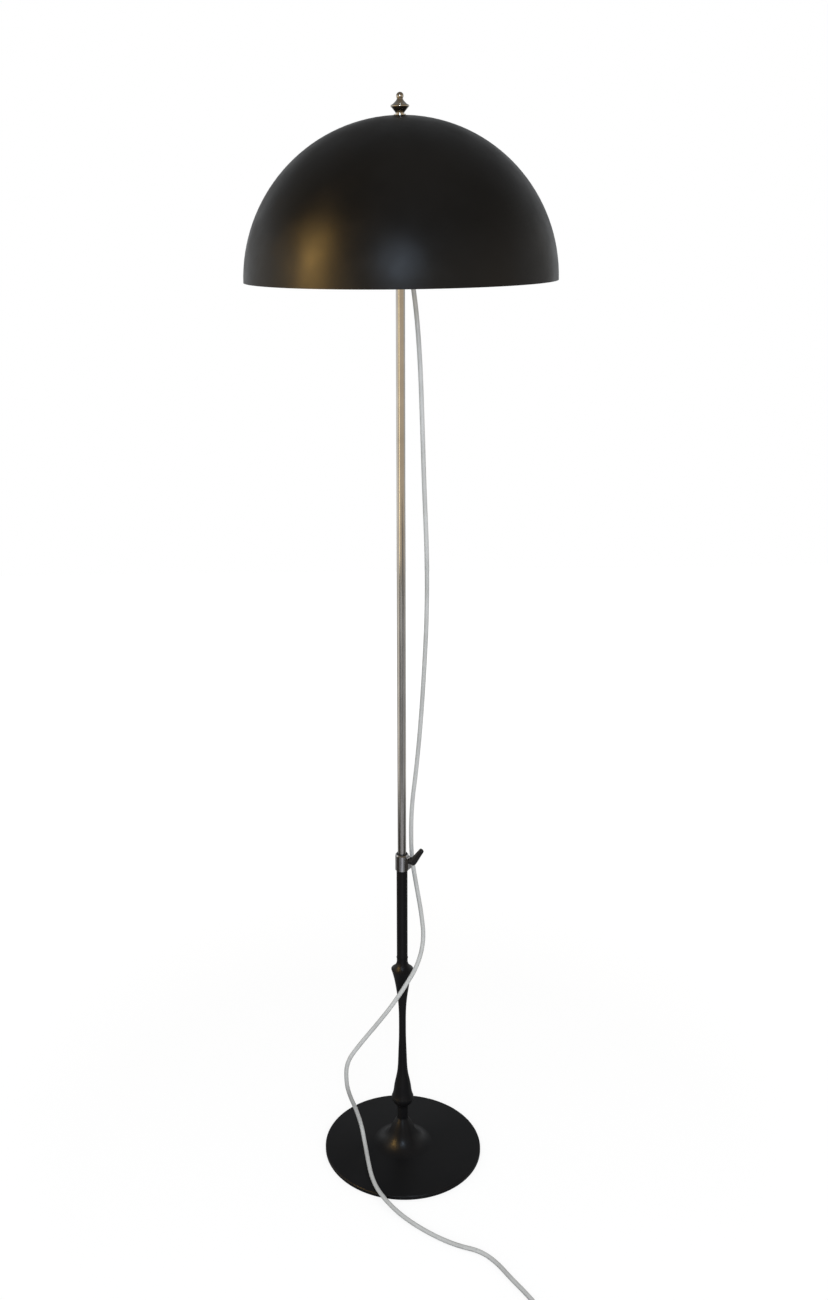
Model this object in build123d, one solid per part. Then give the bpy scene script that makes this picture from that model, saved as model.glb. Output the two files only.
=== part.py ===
from build123d import *
import math
import os

# Mushroom floor lamp: a turned stem on a round foot, a telescopic pole held by a hand lever,
# and a hemispherical shade over a two-lamp cluster. Millimetres, +Z up, floor at z = 0.

# ---- heights of the main joints between pieces ----
neck_seat_height = 53.0        # top of the trumpet, where the stem stands
stem_top_height = 324.0        # upper end of the stem's flare
collar_bottom_height = 465.0
shade_rim_height = 1292.0
cluster_above_rim = 60.0

# ---- foot ----
foot_radius = 117.5
foot_edge_height = 6.0
foot_edge_round = 1.6
foot_crown_rise = 2.6          # how much the plate rises from its edge to the trumpet
trumpet_foot_radius = 44.0
trumpet_foot_rise = 1.6        # the trumpet ends this far above the crown
trumpet_lip = 0.8              # how much wider than the stem's neck the trumpet's top is
rim_lift = 0.6                 # the cover's rim stays this far above the floor
cover_wall = 1.2
felt_thickness = 1.5
felt_margin = 4.0              # felt stays inside the rim by this much
nut_recess_radius = 13.0
nut_recess_height = 14.5       # ceiling of the recess under the weight
stud_radius = 5.0
stud_in_stem = 25.0
washer_radius = 10.5
washer_thickness = 1.6
nut_across_flats = 17.0
nut_height = 8.0
nut_chamfer_width = 1.6
nut_chamfer_height = 1.2

# ---- stem ----
stem_neck_radius = 7.8
bulge_radius = 16.3
bulge_rise = 37.0              # widest point of the bulge above the seat
waist_radius = 5.2
waist_rise = 150.0
knuckle_radius = 16.2
knuckle_drop = 19.2            # sharp edge of the knuckle below the stem's top
socket_depth = 31.0
flare_lip = 0.6                # wall of the flare at the stem's top
flare_depth = 3.2              # hollow of the flare between the knuckle and the top
neck_height = 17.0             # straight neck under the bulge
throat_flare = 1.4             # how far the throat opens above the neck
throat_height = 6.5
tuck_height = 5.0              # from the throat to the middle of the tuck
tuck_inset = 2.0

# ---- telescopic tubes ----
outer_tube_radius = 7.9
outer_tube_wall = 1.2
inner_tube_radius = 6.0
inner_tube_wall = 1.0
foot_plug_height = 20.0
foot_plug_edge = 0.5
foot_plug_floor = 2.0
foot_plug_core = 10.0          # how far its core reaches up into the pole
extension_left = 44.5          # travel left before the pole's foot meets the bush
tube_in_cluster = 20.0

# ---- clamp ----
collar_radius = 9.6
collar_height = 24.5
collar_chamfer = 1.4
collar_edge = 0.5
collar_socket_depth = 9.0      # how far the outer tube goes into the collar
bush_end_gap = 0.5             # between the bush and the outer tube's end
bush_radius = 7.4
bush_flange_radius = 7.9
bush_flange_height = 1.2
bush_edge = 0.4
lug_reach = 13.2               # end of the lug from the pole's axis
lug_thickness = 9.0
lug_drop = 1.6                 # lug's top below the collar's top
lug_height = 21.5
lug_corner = 5.0
lug_turn = -35.0               # degrees about the pole, from +X towards the front
screw_radius = 3.0
screw_axis_rise = 17.8         # screw above the collar's bottom
pad_thickness = 1.6
hub_radius = 5.2
hub_length = 7.6
hub_edge = 0.6
hub_dome = 2.0                 # height of the hub's domed end
arm_root_radius = 4.6
arm_tip_radius = 2.9
arm_length = 27.0
arm_tip_edge = 0.8
arm_slope = 56.0               # degrees above the horizontal
arm_root_reach = 2.2           # the arm's round root passes the hub's end by this much
arm_root_drop = 0.6            # root of the arm below the screw's axis

# ---- cluster and lamps ----
cluster_radius = 18.0
cluster_height = 46.0
cluster_edge = 2.0
cluster_shoulder_width = 7.0
cluster_shoulder_height = 8.0
rod_radius = 5.0
rod_in_cluster = 18.0
locknut_radius = 8.5
locknut_height = 5.0
nipple_radius = 5.0
nipple_depth = 6.0
holder_radius = 18.5
holder_length = 46.0
holder_bore_radius = 14.6
holder_back_wall = 8.0
holder_mouth_edge = 1.5
holder_foot_radius = 10.0
holder_cone_radius = 15.5      # wide end of the cone behind the shell
holder_cone_end = 6.0
holder_waist_radius = 16.5
holder_waist_start = 7.0
holder_waist_end = 12.0
holder_shell_start = 14.0
contact_radius = 4.0
contact_height = 3.0
insert_mouth_inset = 8.0       # the insert stays this far inside the holder's mouth
insert_wall = 0.6
bulb_cap_radius = 13.2
bulb_cap_length = 26.0
bulb_cap_wall = 0.5
cap_tip_radius = 4.5
cap_tip_wide_radius = 5.5
cap_tip_height = 2.0
cap_insulator_radius = 11.0
cap_insulator_end = 4.5
cap_shell_start = 6.5
cap_floor_thickness = 1.0
bulb_neck_in_cap = 8.0
bulb_radius = 22.5
bulb_length = 78.0             # cap and glass together
glass_wall = 1.0
gland_radius = 5.6
gland_length = 22.0
gland_collar_height = 4.0
gland_step = 0.8
lead_in_cluster = 6.0
gland_tip_radius = 3.9
gland_x = 13.0
gland_y = 5.0

# ---- shade and finial ----
shade_radius = 200.0
shade_wall = 1.0
shade_washer_radius = 12.0
shade_washer_thickness = 1.5
top_stud_radius = 3.0
top_stud_hole = 3.3
top_washer_radius = 7.6
top_washer_thickness = 1.2
finial_neck_radius = 5.4
finial_neck_height = 1.2
finial_cone_radius = 6.3       # lower end of the cone under the bead
finial_cone_height = 2.6
finial_bead_radius = 11.7      # widest point
finial_bead_height = 9.2       # widest point above the finial's base
finial_bead_thickness = 3.2
finial_bead_bulge = 1.1
finial_waist_radius = 3.8
finial_waist_height = 18.4
finial_ball_radius = 4.7
finial_height = 25.8           # from the washer's top to the top of the ball
finial_bore_depth = 9.0
finial_stud_gap = 1.0          # between the stud's tip and the end of the bore
stud_chamfer = 0.6

# ---- flexible lead ----
lead_diameter = 6.2
lead_lift = 0.05               # the lead lies this far above the floor
turn_gap = 0.7                 # between neighbouring turns of the coil
coil_outer_radius = 42.0
coil_half_turns = 4            # in the lower layer, before it climbs
plug_body_length = 34.0
plug_body_width = 34.0
plug_body_height = 13.6
plug_sleeve_length = 20.0
plug_sleeve_radius = 5.4
plug_sleeve_wall = 0.8         # round the lead at the sleeve's thin end
plug_sleeve_root = 4.0         # how far the sleeve runs into the body
plug_back_width = 16.0
plug_back_inset = 2.0          # the body is this much lower at its back
plug_waist_width = 26.0
plug_waist_length = 12.0
plug_corners = (3.5, 4.5, 5.5)
pin_radius = 2.0
pin_length = 19.0
pin_root = 6.0                 # length of each pin inside the plug
pin_spacing = 18.6
settle_length = 30.0           # stretch in which the lead comes down to the plug

# ---- clearances ----
running_gap = 0.05             # radial, sliding and turning fits
thread_gap = 0.05              # radial, on screwed joints
seat_gap = 0.2                 # flat faces of pieces that turn against each other
loose_gap = 0.3                # curved faces of different bodies

lead_radius = lead_diameter / 2
bulb_neck_radius = bulb_cap_radius - bulb_cap_wall - loose_gap
cluster_bottom_height = shade_rim_height + cluster_above_rim
bush_bottom_height = collar_bottom_height + collar_socket_depth + bush_end_gap
foot_plug_bottom_height = bush_bottom_height - extension_left - foot_plug_height
stem_bottom = neck_seat_height
socket_bottom = stem_top_height - socket_depth
knuckle_height = stem_top_height - knuckle_drop
collar_top_height = collar_bottom_height + collar_height
screw_height = collar_bottom_height + screw_axis_rise
cluster_top_height = cluster_bottom_height + cluster_height
lamp_axis_height = cluster_bottom_height + cluster_height / 2
shade_apex_height = shade_rim_height + shade_radius
shade_inner_radius = shade_radius - shade_wall
gland_tip_height = cluster_bottom_height - gland_length
floor_level = lead_radius + lead_lift
plug_axis_height = plug_body_height / 2 + lead_lift


def spun(outline):
    """Solid turned about the vertical axis from a closed outline drawn as radius and height."""
    return revolve(Plane.XZ * make_face(outline), Axis.Z)


def polygon(*points):
    """Closed outline of straight lines through (radius, height) points."""
    return Polyline(*points, close=True)


def ring(inner_radius, outer_radius, bottom, top):
    """Plain turned ring about the vertical axis."""
    corners = [(inner_radius, bottom), (outer_radius, bottom), (outer_radius, top), (inner_radius, top)]
    return spun(polygon(*corners))


def rod(radius, bottom, top):
    """Plain round bar about the vertical axis."""
    return Pos(0, 0, (bottom + top) / 2) * Cylinder(radius, top - bottom)


def between(start, end, shares):
    """Points at given shares of the way from start to end, in radius and in height."""
    return [
        (start[0] + across * (end[0] - start[0]), start[1] + up * (end[1] - start[1]))
        for across, up in shares
    ]


# ---------------------------------------------------------------- foot
def cover_profile(offset):
    """Edges of the foot's upper surface, from the neck seat out to the rim, lowered by offset."""
    crown = foot_edge_height + foot_crown_rise
    neck = (stem_neck_radius + trumpet_lip, neck_seat_height - offset)
    foot = (trumpet_foot_radius, crown + trumpet_foot_rise - offset)
    trumpet = Spline(
        neck,
        *between(neck, foot, [(0.125, 0.188), (0.336, 0.596)]),
        foot,
        tangents=[(0.5, -1), (1, -0.14)],
        tangent_scalars=[0.7, 1.2],
    )
    shoulder = (foot_radius - foot_edge_round - offset, foot_edge_height - offset)
    plate = Line(trumpet @ 1, shoulder)
    return trumpet, plate


def foot_cover():
    """Spun sheet cover: trumpet, slightly crowned plate and a turned-down rounded rim."""
    trumpet, plate = cover_profile(0)
    rim_top = foot_edge_height - foot_edge_round
    diagonal = foot_edge_round * (1 - math.sqrt(0.5))
    rim_round = ThreePointArc(
        plate @ 1, (foot_radius - diagonal, foot_edge_height - diagonal), (foot_radius, rim_top))
    inner_trumpet, inner_plate = cover_profile(cover_wall)
    rim_bottom = rim_lift
    inner_rim = foot_radius - cover_wall
    walls = [
        Line(rim_round @ 1, (foot_radius, rim_bottom)),
        Line((foot_radius, rim_bottom), (inner_rim, rim_bottom)),
        Line((inner_rim, rim_bottom), inner_plate @ 1),
        Line(inner_trumpet @ 0, (stud_radius + thread_gap, neck_seat_height - cover_wall)),
        Line(
            (stud_radius + thread_gap, neck_seat_height - cover_wall),
            (stud_radius + thread_gap, neck_seat_height),
        ),
        Line((stud_radius + thread_gap, neck_seat_height), trumpet @ 0),
    ]
    return spun([trumpet, plate, rim_round, inner_trumpet, inner_plate] + walls)


def foot_weight():
    """Cast disc and hub that fill the cover, with a bore for the stud and a recess for its nut."""
    trumpet, plate = cover_profile(cover_wall + thread_gap)
    rim = plate @ 1
    top = trumpet @ 0
    walls = [
        Line(rim, (rim.X, felt_thickness)),
        Line((rim.X, felt_thickness), (nut_recess_radius, felt_thickness)),
        Line((nut_recess_radius, felt_thickness), (nut_recess_radius, nut_recess_height)),
        Line((nut_recess_radius, nut_recess_height), (stud_radius + thread_gap, nut_recess_height)),
        Line((stud_radius + thread_gap, nut_recess_height), (stud_radius + thread_gap, top.Y)),
        Line((stud_radius + thread_gap, top.Y), top),
    ]
    return spun([trumpet, plate] + walls)


def felt_pad():
    return ring(nut_recess_radius, foot_radius - felt_margin, 0, felt_thickness)


def foot_washer():
    bottom = nut_recess_height - washer_thickness
    return ring(stud_radius + thread_gap, washer_radius, bottom, nut_recess_height)


def foot_nut():
    """Hexagonal nut under the washer, its lower edges chamfered by turning."""
    top = nut_recess_height - washer_thickness
    corner = nut_across_flats / math.sqrt(3)
    body = Pos(0, 0, top - nut_height) * extrude(RegularPolygon(corner, 6), nut_height)
    crown = spun(polygon(
        (0, top), (corner, top), (corner, top - nut_height + nut_chamfer_height),
        (corner - nut_chamfer_width, top - nut_height), (0, top - nut_height),
    ))
    return (body & crown) - rod(stud_radius + thread_gap, top - nut_height, top)


def foot_stud():
    bottom = nut_recess_height - washer_thickness - nut_height
    return rod(stud_radius, bottom, stem_bottom + stud_in_stem)


# ---------------------------------------------------------------- stem
def stem_outline():
    """Turned outline from the seat: neck, tucked bulge, long waist, knuckle and flare."""
    seat = stem_bottom
    bulge = (bulge_radius, seat + bulge_rise)
    neck_top = (stem_neck_radius, seat + neck_height)
    throat_top = (stem_neck_radius + throat_flare, neck_top[1] + throat_height)
    tuck_middle = (bulge_radius - tuck_inset, throat_top[1] + tuck_height)
    waist = (waist_radius, seat + waist_rise)
    knuckle = (knuckle_radius, knuckle_height)
    top = (outer_tube_radius + flare_lip, stem_top_height)
    neck = Line((stem_neck_radius, seat), neck_top)
    throat = ThreePointArc(
        neck_top,
        (stem_neck_radius + throat_flare / 4, neck_top[1] + throat_height / 2),
        throat_top,
    )
    tuck = ThreePointArc(throat_top, tuck_middle, bulge)
    lower = Spline(
        bulge,
        *between(waist, bulge, [(0.66, 0.84), (0.30, 0.655), (0.11, 0.39)]),
        waist,
        tangents=[(-0.42, 1), (0, 1)],
        tangent_scalars=[1.2, 1],
    )
    upper = Spline(
        waist,
        *between(waist, knuckle, [(0.10, 0.457), (0.364, 0.686)]),
        knuckle,
        tangents=[(0, 1), (0.32, 1)],
        tangent_scalars=[1, 1.2],
    )
    flare_middle = ((knuckle[0] + top[0]) / 2 - flare_depth, (knuckle[1] + top[1]) / 2 - flare_depth / 2)
    flare = ThreePointArc(knuckle, flare_middle, top)
    return [neck, throat, tuck, lower, upper, flare], top


def stem():
    edges, top = stem_outline()
    socket = outer_tube_radius + running_gap
    stud_bore = stud_radius + thread_gap
    stud_top = stem_bottom + stud_in_stem
    inside = [
        Line(top, (socket, stem_top_height)),
        Line((socket, stem_top_height), (socket, socket_bottom)),
        Line((socket, socket_bottom), (0, socket_bottom)),
        Line((0, socket_bottom), (0, stud_top)),
        Line((0, stud_top), (stud_bore, stud_top)),
        Line((stud_bore, stud_top), (stud_bore, stem_bottom)),
        Line((stud_bore, stem_bottom), (stem_neck_radius, stem_bottom)),
    ]
    return spun(edges + inside)


def outer_tube():
    top = collar_bottom_height + collar_socket_depth
    return ring(outer_tube_radius - outer_tube_wall, outer_tube_radius, socket_bottom, top)


# ---------------------------------------------------------------- clamp
def lug_frame():
    """Plane at the pole's axis and the screw's height, its Z pointing out along the screw."""
    direction = Vector(1, 0, 0).rotate(Axis.Z, lug_turn)
    return Plane(origin=(0, 0, screw_height), x_dir=(0, 0, 1), z_dir=direction)


def along_screw(radius, start, end):
    """Round bar along the clamp screw, between two distances from the pole's axis."""
    return lug_frame() * Pos(0, 0, (start + end) / 2) * Cylinder(radius, end - start)


def clamp_collar():
    """Turned collar with a rounded side lug, bored for the tube, the bush and the screw."""
    top = collar_top_height
    body = spun(polygon(
        (0, collar_bottom_height), (collar_radius - collar_edge, collar_bottom_height),
        (collar_radius, collar_bottom_height + collar_edge), (collar_radius, top - collar_chamfer),
        (collar_radius - collar_chamfer, top), (0, top),
    ))
    lug_top = top - lug_drop
    lug = Pos(lug_reach / 2, 0, lug_top - lug_height / 2) * Box(lug_reach, lug_thickness, lug_height)
    lug = fillet(lug.edges().filter_by(Axis.Y).group_by(Axis.X)[-1], lug_corner)
    body += Rot(0, 0, lug_turn) * lug
    tube_hole = rod(
        outer_tube_radius + thread_gap, collar_bottom_height, collar_bottom_height + collar_socket_depth
    )
    bush_hole = rod(bush_radius + thread_gap, collar_bottom_height, top)
    return body - tube_hole - bush_hole - along_screw(screw_radius + running_gap, 0, lug_reach + 1)


def tube_bush():
    """Plastic bush that the pole slides in, its flange resting on the collar."""
    bottom = bush_bottom_height
    bore = inner_tube_radius + running_gap
    top = collar_top_height
    body = spun(polygon(
        (bore, bottom), (bush_radius, bottom), (bush_radius, top), (bush_flange_radius, top),
        (bush_flange_radius, top + bush_flange_height - bush_edge),
        (bush_flange_radius - bush_edge, top + bush_flange_height), (bore, top + bush_flange_height),
    ))
    return body - along_screw(screw_radius + running_gap, 0, lug_reach)


def pad_start():
    return inner_tube_radius + loose_gap


def clamp_pad():
    """Soft pad that the screw presses against the pole."""
    return along_screw(screw_radius - running_gap, pad_start(), pad_start() + pad_thickness)


def clamp_screw():
    start = pad_start() + pad_thickness + seat_gap
    return along_screw(screw_radius, start, lug_reach + seat_gap)


def clamp_lever():
    """Moulded lever: a domed hub on the screw and a tapered arm that leans outwards."""
    start = lug_reach + seat_gap
    end = start + hub_length
    dome_start = end - hub_dome
    hub_outline = [
        Line((0, start), (hub_radius - hub_edge, start)),
        Line((hub_radius - hub_edge, start), (hub_radius, start + hub_edge)),
        Line((hub_radius, start + hub_edge), (hub_radius, dome_start)),
        ThreePointArc((hub_radius, dome_start), (hub_radius * 0.72, end - hub_dome / 4), (0, end)),
        Line((0, end), (0, start)),
    ]
    hub = lug_frame() * spun(hub_outline)
    root = arm_root_radius
    corner = root * math.sqrt(0.5)
    tip_side = (arm_tip_radius, arm_length - arm_tip_edge)
    tip_flat = (arm_tip_radius - arm_tip_edge, arm_length)
    arm_outline = [
        ThreePointArc((0, -root), (corner, -corner), (root, 0)),
        Line((root, 0), tip_side),
        Line(tip_side, tip_flat),
        Line(tip_flat, (0, arm_length)),
        Line((0, arm_length), (0, -root)),
    ]
    arm_place = Pos(end + arm_root_reach - root, 0, screw_height - arm_root_drop)
    arm = arm_place * Rot(0, 90 - arm_slope, 0) * spun(arm_outline)
    return hub + Rot(0, 0, lug_turn) * arm


# ---------------------------------------------------------------- pole
def inner_tube():
    bottom = foot_plug_bottom_height + foot_plug_floor
    top = cluster_bottom_height + tube_in_cluster
    return ring(inner_tube_radius - inner_tube_wall, inner_tube_radius, bottom, top)


def tube_foot():
    """Plastic foot that guides the pole inside the outer tube and stops it coming out."""
    bottom = foot_plug_bottom_height
    outer = outer_tube_radius - outer_tube_wall - running_gap
    plug_radius = inner_tube_radius - inner_tube_wall - thread_gap
    floor = bottom + foot_plug_floor
    sleeve_bore = inner_tube_radius + thread_gap
    core_top = floor + foot_plug_core
    return spun(polygon(
        (0, bottom), (outer - foot_plug_edge, bottom), (outer, bottom + foot_plug_edge),
        (outer, bottom + foot_plug_height), (sleeve_bore, bottom + foot_plug_height),
        (sleeve_bore, floor), (plug_radius, floor), (plug_radius, core_top), (0, core_top),
    ))


# ---------------------------------------------------------------- cluster
def cluster_body():
    """Turned body that joins the pole, both lampholders and the rod that carries the shade."""
    bottom = cluster_bottom_height
    top = cluster_top_height
    body = spun(polygon(
        (0, bottom), (cluster_radius - cluster_edge, bottom), (cluster_radius, bottom + cluster_edge),
        (cluster_radius, top - cluster_shoulder_height), (cluster_radius - cluster_shoulder_width, top),
        (0, top),
    ))
    body -= rod(inner_tube_radius + thread_gap, bottom, bottom + tube_in_cluster)
    body -= rod(rod_radius + thread_gap, top - rod_in_cluster, top)
    for side in (-1, 1):
        hole = Pos(side * (cluster_radius - nipple_depth / 2), 0, lamp_axis_height)
        body -= hole * Rot(0, 90, 0) * Cylinder(nipple_radius + thread_gap, nipple_depth)
    lead_hole = Cylinder(lead_radius + thread_gap, lead_in_cluster)
    gland_hole = Pos(gland_x, gland_y, bottom + lead_in_cluster / 2) * lead_hole
    return body - gland_hole


def center_rod():
    """Threaded rod from the cluster to the shade, stepped down to a stud above the washer."""
    shoulder = shade_seat_height()
    stud_top = top_washer_top() + finial_bore_depth - finial_stud_gap
    return spun(polygon(
        (0, cluster_top_height - rod_in_cluster), (rod_radius, cluster_top_height - rod_in_cluster),
        (rod_radius, shoulder - shade_washer_thickness), (top_stud_radius, shoulder - shade_washer_thickness),
        (top_stud_radius, stud_top - stud_chamfer), (top_stud_radius - stud_chamfer, stud_top), (0, stud_top),
    ))


def rod_locknut():
    bottom = cluster_top_height
    body = Pos(0, 0, bottom) * extrude(RegularPolygon(locknut_radius, 6), locknut_height)
    return body - rod(rod_radius + thread_gap, bottom, bottom + locknut_height)


def toward_lamp(side):
    """Placement whose Z axis runs out along one lamp, starting at the cluster's surface."""
    return Pos(side * cluster_radius, 0, lamp_axis_height) * Rot(0, side * 90, 0)


def lampholder(side):
    """Lampholder shell with its threaded nipple in the cluster."""
    outline = polygon(
        (0, -nipple_depth), (nipple_radius, -nipple_depth), (nipple_radius, loose_gap),
        (holder_foot_radius, loose_gap), (holder_cone_radius, holder_cone_end),
        (holder_waist_radius, holder_waist_start), (holder_waist_radius, holder_waist_end),
        (holder_radius, holder_shell_start), (holder_radius, holder_length - holder_mouth_edge),
        (holder_radius - holder_mouth_edge, holder_length), (holder_bore_radius, holder_length),
        (holder_bore_radius, holder_back_wall), (0, holder_back_wall),
    )
    return toward_lamp(side) * spun(outline)


def holder_insert(side):
    """Brass screw shell and centre contact inside the lampholder."""
    outer = holder_bore_radius - thread_gap
    inner = outer - insert_wall
    floor = holder_back_wall
    mouth = holder_length - insert_mouth_inset
    outline = polygon(
        (0, floor), (outer, floor), (outer, mouth), (inner, mouth), (inner, floor + insert_wall),
        (contact_radius, floor + insert_wall), (contact_radius, floor + contact_height),
        (0, floor + contact_height),
    )
    return toward_lamp(side) * spun(outline)


def cap_start():
    return holder_back_wall + contact_height + seat_gap


def bulb_cap(side):
    """Metal screw cap of the lamp, with its insulated tip."""
    start = cap_start()
    end = start + bulb_cap_length
    shell_start = start + cap_shell_start
    outline = polygon(
        (0, start), (cap_tip_radius, start), (cap_tip_wide_radius, start + cap_tip_height),
        (cap_insulator_radius, start + cap_insulator_end), (bulb_cap_radius, shell_start),
        (bulb_cap_radius, end), (bulb_cap_radius - bulb_cap_wall, end),
        (bulb_cap_radius - bulb_cap_wall, shell_start + cap_floor_thickness),
        (0, shell_start - bulb_cap_wall),
    )
    return toward_lamp(side) * spun(outline)


def bulb_glass(side):
    """Round glass bulb with a short neck that sits in the cap."""
    start = cap_start() + bulb_cap_length
    tip = cap_start() + bulb_length
    centre = tip - bulb_radius

    def shell(radius, neck):
        angle = math.asin(neck / radius)
        shoulder = (neck, centre - radius * math.cos(angle))
        side_point = (radius, centre)
        arc = ThreePointArc(shoulder, side_point, (0, centre + radius))
        return shoulder, arc

    outer_shoulder, outer = shell(bulb_radius, bulb_neck_radius)
    inner_shoulder, inner = shell(bulb_radius - glass_wall, bulb_neck_radius - glass_wall)
    neck_end = start - bulb_neck_in_cap
    outline = [
        Line((bulb_neck_radius, neck_end), outer_shoulder), outer,
        Line(outer @ 1, inner @ 1), inner,
        Line(inner_shoulder, (bulb_neck_radius - glass_wall, neck_end)),
        Line((bulb_neck_radius - glass_wall, neck_end), (bulb_neck_radius, neck_end)),
    ]
    return toward_lamp(side) * spun(outline)


def cord_gland():
    """Tapered strain relief where the lead leaves the cluster."""
    top = cluster_bottom_height
    collar_end = top - gland_collar_height
    outline = polygon(
        (lead_radius + thread_gap, top), (gland_radius, top), (gland_radius, collar_end),
        (gland_radius - gland_step, collar_end - gland_step), (gland_tip_radius, gland_tip_height),
        (lead_radius + thread_gap, gland_tip_height),
    )
    return Pos(gland_x, gland_y, 0) * spun(outline)


# ---------------------------------------------------------------- shade and finial
def shade_seat_height():
    """Top of the washer under the dome, where the dome's inner face reaches the washer's rim."""
    return shade_rim_height + math.sqrt(shade_inner_radius**2 - shade_washer_radius**2) - running_gap


def top_washer_top():
    return shade_apex_height + top_washer_thickness


def shade():
    """Thin hemisphere, open below, with a hole for the stud at its top."""
    def at_hole(radius):
        return (top_stud_hole, shade_rim_height + math.sqrt(radius**2 - top_stud_hole**2))

    def half_way(radius):
        return (radius * math.sqrt(0.5), shade_rim_height + radius * math.sqrt(0.5))

    outer_rim = (shade_radius, shade_rim_height)
    inner_rim = (shade_inner_radius, shade_rim_height)
    outline = [
        ThreePointArc(outer_rim, half_way(shade_radius), at_hole(shade_radius)),
        Line(at_hole(shade_radius), at_hole(shade_inner_radius)),
        ThreePointArc(at_hole(shade_inner_radius), half_way(shade_inner_radius), inner_rim),
        Line(inner_rim, outer_rim),
    ]
    return spun(outline)


def shade_washer():
    top = shade_seat_height()
    return ring(top_stud_radius + thread_gap, shade_washer_radius, top - shade_washer_thickness, top)


def top_washer():
    return ring(top_stud_radius + thread_gap, top_washer_radius, shade_apex_height, top_washer_top())


def finial():
    """Turned nut: neck, cone, rounded bead, hollow flare, waist and ball."""
    base = top_washer_top() + seat_gap
    bore = top_stud_radius + running_gap
    ball_centre = base + finial_height - finial_ball_radius
    neck_top = (finial_neck_radius, base + finial_neck_height)
    cone_bottom = (finial_cone_radius, base + finial_cone_height)
    bead_edge = finial_bead_radius - finial_bead_bulge
    bead_bottom = (bead_edge, base + finial_bead_height - finial_bead_thickness / 2)
    bead_middle = (finial_bead_radius, base + finial_bead_height)
    bead_top = (bead_edge, base + finial_bead_height + finial_bead_thickness / 2)
    waist = (finial_waist_radius, base + finial_waist_height)
    ball_low = (finial_waist_radius, ball_centre - math.sqrt(finial_ball_radius**2 - finial_waist_radius**2))
    bore_top = top_washer_top() + finial_bore_depth
    outline = [
        Line((bore, base), (finial_neck_radius, base)),
        Line((finial_neck_radius, base), neck_top),
        Line(neck_top, cone_bottom),
        Line(cone_bottom, bead_bottom),
        ThreePointArc(bead_bottom, bead_middle, bead_top),
        Spline(
            bead_top,
            *between(bead_top, waist, [(0.36, 0.2), (0.7, 0.5)]),
            waist,
            tangents=[(-1, 0.35), (-0.1, 1)],
        ),
        Line(waist, ball_low),
        ThreePointArc(ball_low, (finial_ball_radius, ball_centre), (0, ball_centre + finial_ball_radius)),
        Line((0, ball_centre + finial_ball_radius), (0, bore_top)),
        Line((0, bore_top), (bore, bore_top)),
        Line((bore, bore_top), (bore, base)),
    ]
    return spun(outline)


# ---------------------------------------------------------------- flexible lead
# Points of the free route, from the strain relief down to the coil, chosen by hand.
hanging_route = [
    (gland_x, gland_y, gland_tip_height),
    (14.5, 5.2, 1297),
    (21, 5.8, 1252),
    (26, 6.4, 1184),
    (28.8, 7, 1102),
    (31.5, 7.4, 1016),
    (35.3, 8, 930),
    (35.5, 8.3, 846),
    (32, 9, 766),
    (27.5, 10.4, 689),
    (21.5, 12.4, 617),
    (14.8, 14, 560),
    (13.6, 14.6, 517),
    (14.5, 15, 476),
    (21, 12, 434),
]
lower_route = [
    (28, 3, 394),
    (31.5, -8, 357),
    (22.5, -21, 325),
    (5, -25, 294),
    (-17, -26.5, 259),
    (-40, -28.5, 229),
    (-63, -30, 200),
    (-84, -31, 170),
    (-84.5, -27.5, 131),
    (-79, -13, 98),
    (-71, 3, 66),
    (-62.5, 6, 34.5),
    (-57, -16, 13.4),
    (-53.5, -48, 12.6),
    (-49.5, -78, 11.2),
    (-41.5, -106, 10.2),
    (-27, -130, 7.2),
    (-8, -153, 4.2),
    (15, -175, floor_level),
    (41, -196, floor_level),
    (68, -212, floor_level),
    (97, -222, floor_level),
    (117, -243, floor_level),
    (133, -272, floor_level),
    (152, -302, floor_level),
    (168, -334, floor_level),
    (178, -362, floor_level),
]
coil_start = Vector(184, -386, floor_level)


def arc_radii(points):
    """Largest sensible arc at each inner point: 0.45 of the shorter run over tan(half turn)."""
    radii = []
    for before, here, after in zip(points, points[1:], points[2:]):
        arriving = Vector(*here) - Vector(*before)
        leaving = Vector(*after) - Vector(*here)
        half_turn = math.radians(arriving.get_angle(leaving)) / 2
        radii.append(0.45 * min(arriving.length, leaving.length) / math.tan(half_turn))
    return radii


def tube_along(path, name):
    """Round lead swept along a path; prints its length and how well its volume agrees."""
    section = Plane(origin=path @ 0, z_dir=path % 0) * Circle(lead_radius)
    tube = sweep(section, path=path)
    expected = path.length * math.pi * lead_radius**2
    print(f"{name}: length {path.length:.1f} mm, volume ratio {tube.volume / expected:.4f}")
    return tube


def free_tube(points, name):
    points = [tuple(point) for point in points]
    radii = arc_radii(points)
    print(f"{name}: arc radii {[round(radius) for radius in radii]}")
    return tube_along(FilletPolyline(*points, radius=radii), name)


def middle(first, second):
    return tuple((a + b) / 2 for a, b in zip(first, second))


hanging_end = middle(hanging_route[-1], lower_route[0])


def cord_hanging():
    return free_tube(hanging_route + [hanging_end], "cord_hanging")


def cord_lower():
    return free_tube([hanging_end] + lower_route + [tuple(coil_start)], "cord_lower")


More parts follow.
